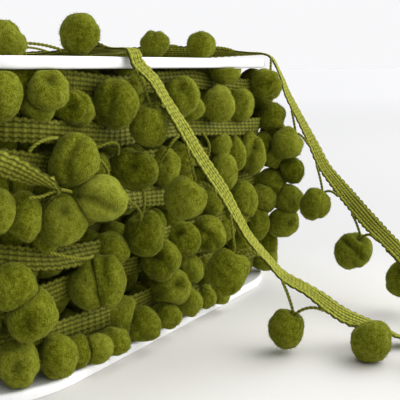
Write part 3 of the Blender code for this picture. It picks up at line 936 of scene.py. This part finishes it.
def loop_line(route, row, pull):
    """The cord of one loop: out of the braid, into the pompom's pit and back."""
    middle = np.array((row.x, row.y, row.z))
    feet, edges = route.at(np.array((row.along - row.spread, row.along + row.spread)))
    edges = unit(edges)
    outs = feet + edges * BRAID_WIDE / 2
    feet = feet + edges * (BRAID_WIDE / 2 - FOOT_IN)
    tip = middle + pull * (row.tall / 2 * HOLLOW_FLOOR + TIP_OUT)
    mouth = middle + pull * (row.tall / 2)
    aside = feet[1] - feet[0]
    aside = unit(aside - pull * (aside @ pull)) * (CORD_RADIUS * LEG_APART)
    legs = []
    for foot, out, side in zip(feet, outs, (-1, 1)):
        entry = mouth + aside * side
        span = entry - out
        rise = LEG_RISE * np.linalg.norm(span[:2]) * (1.0 if out[2] < REEL_TALL else FLAT_LEG)
        slack = out + span * 0.5 + UP * rise
        curve = [bezier(out, slack, entry, t) for t in np.linspace(0, 1, LEG_STEPS)]
        legs.append([foot] + curve + [tip + aside * side * TIP_APART])
    return smoothed(legs[0] + legs[1][::-1])


# Yarn swells a little past the sizes in the tables, across and along a pompom.
LOOSE_SWELL = (1.06, 1.05)
WOUND_SWELL = 1.06
LOOSE_PIT, FRONT_PIT, ROUND_PIT = 0.3, 0.24, 0.3  # the depth of their pits

# Deep creases of two loose pompoms: what the crease is square to, the side it is on, its depth and
# its width.
LOBED = {
    ("end", 6): (SEEN_RIGHT, UP, 0.12, 0.2),
    ("end", 11): (SEEN_RIGHT * 0.7 + SEEN_UP * 0.7, SEEN_BACK - SEEN_RIGHT * 0.5, 0.14, 0.15),
}


def loose_length(name, stations, rows, node, materials):
    """One loose length: its braid, its loops of cord and its pompoms."""
    route = Route(stations)
    at = np.arange(0, route.length, FINE_STEP)
    shape = Shape()
    add_braid(shape, at, *route.at(at), holes=True)
    braid = shape.piece(f"{name}_braid", materials["braid"], node, slot="braid")
    loops = Shape()
    for number, row in enumerate((Loose(*row) for row in rows), 1):
        hook, edge = route.at(row.along)
        middle = np.array((row.x, row.y, row.z))
        pull = unit(hook + unit(edge) * (BRAID_WIDE / 2 - FOOT_IN) - middle)
        add_cord(loops, loop_line(route, row, pull))
        rng = np.random.default_rng(LOOSE_SEED + number + 100 * len(rows))
        across, tall = row.across * LOOSE_SWELL[0], row.tall * LOOSE_SWELL[1]
        ball = Pompom(rng, middle, across, tall, pull, LOOSE_PIT)
        ball.add_random_folds((0.02, 0.08), (0.02, 0.06))
        if (name, number) in LOBED:
            ball.add_fold(*LOBED[name, number])
        ball.planes.append((-UP, 0.0))
        body = Shape()
        ball.build(body, NEAR)
        solid = f"{name}_pompom_{number:02d}"
        body.piece(f"{name}_yarn_{number:02d}", materials["pompom"], solid)
    loops.piece(f"{name}_loops", materials["cord"], slot="braid")
    return route


# ---- winding

WALL_LOW = PLATE_THICK + GAP
WALL_HIGH = REEL_TALL - PLATE_THICK - GAP
WALL_INSET = 24.0
WALL_RIDGES, WALL_COLUMNS = 60, 240
WALL_LOOK = (0.1, 2.5, 0.2)  # painted shade, set dark: its place across a rib, beads a column, and height
SEEN_FROM, SEEN_TO = -128.0, 128.0  # the front's part round the edge that its own table fills
FAR_STEP = 2.0  # between two rows of the braid that the front doesn't show
PHASE_START = 1000.0  # keeps the distances along a turn's weave above 0

# Pompoms round the rest of the reel, in rows that sit half a place off each other.
ROUND_ROWS = 6
ROUND_LOW, ROUND_RISE = 15, WALL_HIGH - 24
ROUND_ACROSS, ROUND_APART = (16.5, 20.5), (17.5, 20.5)
ROUND_SINKS = (0, 4, 8)  # how far in one is set, until it is clear of a loose length by ROUND_CLEAR
ROUND_CLEAR = 6.5

# The front's pompoms: the way a hidden pole points, how much it strays, and a crease's width.
HIDDEN_POLE, POLE_STRAY = (0, 0.8, 0.5), 0.35
CREASE_WIDE = 0.2

# Pompoms this near each other, from middle to middle, may touch.
NEIGHBOURS = 24
TOUCH_GAP = 0.1

# Pompoms deep between the front's turns.
DEEP_ROWS, DEEP_APART, DEEP_RISE = 7, 17.0, 17.6
DEEP_INSET, DEEP_ACROSS = (20, 22), (16, 18.5)

# Pompoms behind the gaps at the far corner, where light would show through.
CORNER_FILL = ((118, -72, 121), (118, -77, 109.5), (122, -85, 89), (122, -91.5, 71))


def add_wall(shape):
    """The inner turns, seen only as ridges between the outer ones, made dark with painted shade."""
    rims = [rim(AROUND * index / WALL_COLUMNS) for index in range(WALL_COLUMNS)]
    rings = []
    for ring in range(WALL_RIDGES + 1):
        height = WALL_LOW + (WALL_HIGH - WALL_LOW) * ring / WALL_RIDGES
        line = []
        for index, (point, outward) in enumerate(rims):
            inset = WALL_INSET + 0.9 * (ring % 2) + 0.8 * math.sin(0.31 * ring + 0.13 * index)
            line.append(point - outward * inset + UP * height)
        rings.append(line)
    across, along, height = WALL_LOOK
    values = [(across, column * along, height) for column in range(WALL_COLUMNS)] * len(rings)
    shape.add(np.array(rings).reshape(-1, 3), capped_faces(len(rings), WALL_COLUMNS), values)


def add_turn(shape, turn, number, step, rib_points, span):
    """One turn of wound braid over a span of distances round the edge."""
    at = np.arange(span[0], span[1], step)
    heights = np.interp(at, turn.places, turn.heights) + 0.5 * np.sin(at / 17 + number)
    points, edges = [], []
    tilt = math.radians(turn.tilt)
    for distance, height in zip(at, heights):
        point, outward = rim(distance)
        wave = 0.7 * math.sin(distance / 23 + 2 * number)
        wave -= CORNER_OUT * math.exp(-(((distance - CORNER_AT) / CORNER_SPREAD) ** 2))
        points.append(point - outward * (turn.inset + wave) + UP * height)
        lean = tilt + 0.28 * math.sin(distance / 31 + number) + 0.14 * math.sin(distance / 12 + 2 * number)
        edges.append(-UP * math.cos(lean) + outward * math.sin(lean))
    points, edges = np.array(points), np.array(edges)
    add_braid(shape, at, points, edges, rib_points, flat_back=True, start=PHASE_START)


def front_pompoms(rng):
    """The pompoms of the table, as seen from the front."""
    made = []
    for row in (Wound(*row) for row in WOUND):
        if row.pit_right > 1:
            pole = rng.normal(size=3) * POLE_STRAY + HIDDEN_POLE
        else:
            back = math.sqrt(max(0.05, 1 - row.pit_right**2 - row.pit_up**2))
            pole = SEEN_RIGHT * row.pit_right + SEEN_UP * row.pit_up + SEEN_BACK * back
        across, tall = row.across * WOUND_SWELL, row.tall * WOUND_SWELL
        ball = Pompom(rng, (row.x, row.y, row.z), across, tall, pole, FRONT_PIT, upright=True)
        ball.add_random_folds((0.02, 0.08), (0.02, 0.08))
        if row.fold is not None:
            lean = math.radians(row.fold)
            aside = SEEN_UP * math.cos(lean) - SEEN_RIGHT * math.sin(lean)
            ball.add_fold(aside, SEEN_BACK, row.deep, CREASE_WIDE, rng.uniform(*FOLD_BEND))
        ball.tint += row.light
        made.append(ball)
    return made


def round_pompoms(rng, loose):
    """The pompoms that the front doesn't show, sunk or left out where they would reach a loose point."""
    made = []
    for level in range(ROUND_ROWS):
        height = ROUND_LOW + ROUND_RISE * level / (ROUND_ROWS - 1)
        distance = SEEN_TO + 3 + (level % 2) * 9
        while distance < AROUND + SEEN_FROM - 3:
            across = rng.uniform(*ROUND_ACROSS)
            place, outward = rim(distance + rng.uniform(-2, 2))
            middle = place + outward * rng.uniform(-3.5, 0.5) + UP * (height + rng.uniform(-3, 3))
            pole = -outward * 0.6 + UP * rng.uniform(0.2, 1.2) + rng.normal(size=3) * 0.4
            for inset in ROUND_SINKS:
                seat = middle - outward * inset
                if np.linalg.norm(loose - seat, axis=1).min() > across / 2 + ROUND_CLEAR:
                    ball = Pompom(rng, seat, across, across * rng.uniform(0.95, 1.08), pole, ROUND_PIT)
                    ball.add_random_folds((0.0, 0.12))
                    made.append(ball)
                    break
            distance += rng.uniform(*ROUND_APART)
    return made


def deep_pompoms(rng):
    """The pompoms between the turns, and those behind the gaps at the far corner."""
    made = []
    for level in range(DEEP_ROWS):
        start = SEEN_FROM - 16 + 8 * (level % 2)
        for distance in np.arange(start, SEEN_TO + 30, DEEP_APART):
            place, outward = rim(distance + rng.uniform(-2, 2))
            inset = rng.uniform(*DEEP_INSET)
            height = WALL_LOW + 8 + DEEP_RISE * level + rng.uniform(-2, 2)
            across = rng.uniform(*DEEP_ACROSS)
            middle = place - outward * inset + UP * height
            made.append(Pompom(rng, middle, across, across, rng.normal(size=3), ROUND_PIT))
    for place in CORNER_FILL:
        made.append(Pompom(rng, place, 17, 18, rng.normal(size=3), ROUND_PIT))
    return made


def settle(balls, beside=()):
    """Presses pompoms flat against each other, against those beside them and against the plates."""
    around = list(balls) + list(beside)
    middles = np.array([ball.middle for ball in around])
    for index, ball in enumerate(balls):
        ball.planes += [(-UP, -WALL_LOW), (UP, WALL_HIGH)]
        reach = ball.half.mean()
        for other in np.flatnonzero(np.linalg.norm(middles - ball.middle, axis=1) < NEIGHBOURS):
            if other == index:
                continue
            gap = middles[other] - ball.middle
            far = np.linalg.norm(gap)
            both = reach + around[other].half.mean()
            if far < both:
                way = gap / far
                ball.planes.append((way, ball.middle @ way + far * reach / both - TOUCH_GAP))


def winding(materials, routes, rows):
    """The wound trim: its turns of braid, the cords that show and its pompoms, clear of the loose lengths."""
    wall, near, far, stray, cords = (Shape() for _ in range(5))
    add_wall(wall)
    wall.piece("wound_layers", materials["band"], "winding", slot="braid")
    for number, turn in enumerate(TURNS):
        add_turn(near, turn, number, FINE_STEP, 3, (SEEN_FROM, SEEN_TO))
        add_turn(far, turn, number, FAR_STEP, 2, (SEEN_TO - 1, AROUND + SEEN_FROM + 1))
    loop = Route(STRAY_BRAID)
    at = np.arange(0, loop.length, FINE_STEP)
    add_braid(stray, at, *loop.at(at), rib_points=4, flat_back=True)
    near.piece("wound_braid_front", materials["band"], slot="braid")
    far.piece("wound_braid_round", materials["band"], slot="braid")
    stray.piece("stray_braid", materials["braid"], slot="braid")
    for line in WOUND_CORDS:
        add_cord(cords, smoothed(line), CORD_RADIUS * 0.9)
    cords.piece("wound_cords", materials["cord"], slot="braid")
    rng = np.random.default_rng(WOUND_SEED)
    loose = np.concatenate([route.points for route in routes] + [np.array([row[1:4] for row in rows])])
    front, others, deep = front_pompoms(rng), round_pompoms(rng, loose), deep_pompoms(rng)
    settle(front + others)
    settle(deep, front + others)
    groups = (
        ("wound_pompoms_front_a", front[::2], NEAR),
        ("wound_pompoms_front_b", front[1::2], NEAR),
        ("wound_pompoms_round", others, FAR),
        ("wound_pompoms_deep", deep, DEEP),
    )
    for name, balls, detail in groups:
        shape = Shape()
        for ball in balls:
            ball.build(shape, detail)
        shape.piece(name, materials["pompom"])


# ---- stage

# The floor, in metres, goes from one tint to the next with the distance from FLOOR_FRONT: painted light and
# shade, lighter near the reel, darker beyond it and lighter again far off, where it meets the backdrop.
FLOOR_RADIUS, FLOOR_SIDES = 30.0, 64
FLOOR_FRONT = (-0.06, -0.20, 0.0)
FLOOR_NEAR = (0.750, 0.736, 0.703, 1)
FLOOR_BEYOND = (0.607, 0.607, 0.602, 1)
FLOOR_FAR = (0.712, 0.712, 0.716, 1)
BEYOND_FROM_TO = (0.10, 0.30)
FAR_FROM_TO = (0.45, 3.0)

# The studio: a big soft light on the right, white walls and a dimmer side on the left. Each row is how
# far a direction agrees with the light's, from -1 to 1, and how bright the studio is there.
SOFT_LIGHT = (0.64, -0.60, 0.36)
STUDIO = (
    (-1.0, 0.07),
    (-0.5, 0.10),
    (-0.28, 0.18),
    (-0.14, 0.55),
    (-0.04, 0.94),
    (0.52, 0.94),
    (0.66, 1.7),
    (0.8, 3.3),
    (1.0, 3.3),
)
BRIGHTEST = 3.3
STUDIO_BLUE = 1.012  # its blue, as a share of its red

# The key light, in metres and watts.
KEY_PLACE, KEY_AIM = Vector((0.8, -0.75, 0.55)), Vector((0.0, -0.08, 0.06))
KEY_WIDE, KEY_POWER, KEY_COLOUR = 1.3, 3.0, (1.0, 0.985, 0.95)


def make_camera():
    camera = bpy.data.cameras.new("camera")
    camera.lens = LENS
    camera.sensor_width = SENSOR
    camera.clip_start = 0.01
    down = math.radians(LOOK_DOWN_DEG)
    look = Vector((LOOK_PLAN[0] * math.cos(down), LOOK_PLAN[1] * math.cos(down), -math.sin(down)))
    bpy.context.scene.camera = add_object("camera", camera, EYE, look)


def make_key_light():
    light = bpy.data.lights.new("key", "AREA")
    light.shape = "DISK"
    light.size = KEY_WIDE
    light.energy = KEY_POWER
    light.color = KEY_COLOUR
    add_object("key", light, KEY_PLACE, KEY_AIM - KEY_PLACE)


def make_world():
    """The studio as a ramp of brightness over how far a direction agrees with the soft light's."""
    world = bpy.data.worlds.new("studio")
    bpy.context.scene.world = world
    n = Nodes(world, "Background")
    way = n.add("TexCoord").outputs["Generated"]
    light = Vector(SOFT_LIGHT).normalized()
    agreement = n.add("VectorMath", {"operation": "DOT_PRODUCT"}, i0=way, i1=light).outputs["Value"]
    ramp = n.add("ValToRGB", Fac=n.spread(agreement, -1.0, 1.0))
    stops = ramp.color_ramp.elements
    for index, (agrees, bright) in enumerate(STUDIO):
        at = (agrees + 1) / 2
        stop = stops[index] if index < 2 else stops.new(at)
        stop.position = at
        grey = bright / BRIGHTEST
        stop.color = (grey, grey, grey * STUDIO_BLUE, 1)
    n.finish(Color=ramp.outputs["Color"], Strength=BRIGHTEST)


def make_floor():
    turns = np.linspace(0, 2 * math.pi, FLOOR_SIDES, endpoint=False)
    points = [(FLOOR_RADIUS * math.cos(turn), FLOOR_RADIUS * math.sin(turn), 0) for turn in turns]
    mesh = bpy.data.meshes.new("floor")
    mesh.from_pydata(points, [], [tuple(range(FLOOR_SIDES))])
    n = material_nodes("floor")
    place = n.place()
    distance = n.add("VectorMath", {"operation": "DISTANCE"}, i0=place, i1=FLOOR_FRONT).outputs["Value"]
    # Painted light and shade: the floor's tint changes with the distance.
    colour = n.mix(n.spread(distance, *BEYOND_FROM_TO), FLOOR_NEAR, FLOOR_BEYOND)
    colour = n.mix(n.spread(distance, *FAR_FROM_TO), colour, FLOOR_FAR)
    mesh.materials.append(n.finish(Base_Color=colour, Roughness=0.7, Specular_IOR_Level=0.1))
    floor = add_object("floor", mesh)


def main():
    make_camera()
    make_world()
    make_floor()
    make_key_light()
    bpy.context.scene.view_settings.view_transform = "Standard"
    materials = {
        "pompom": pompom_material(),
        "braid": braid_material("braid_yarn", BRAID_LIGHT),
        # The wound braid uses a darker copy of the braid yarn: painted shade.
        "band": braid_material("wound_braid_yarn_shaded", SHADED_BAND_LIGHT),
        "cord": cord_material(),
    }
    plastic = plastic_material()
    plate("reel_base", 0.0, plastic, "reel_lower_plate")
    plate("reel_top", REEL_TALL - PLATE_THICK, plastic, "reel_upper_plate")
    front = loose_length("front", FRONT_LENGTH, FRONT_LOOSE, "front_length", materials)
    end = loose_length("end", END_LENGTH, END_LOOSE, "end_length", materials)
    winding(materials, (front, end), FRONT_LOOSE + END_LOOSE)


main()
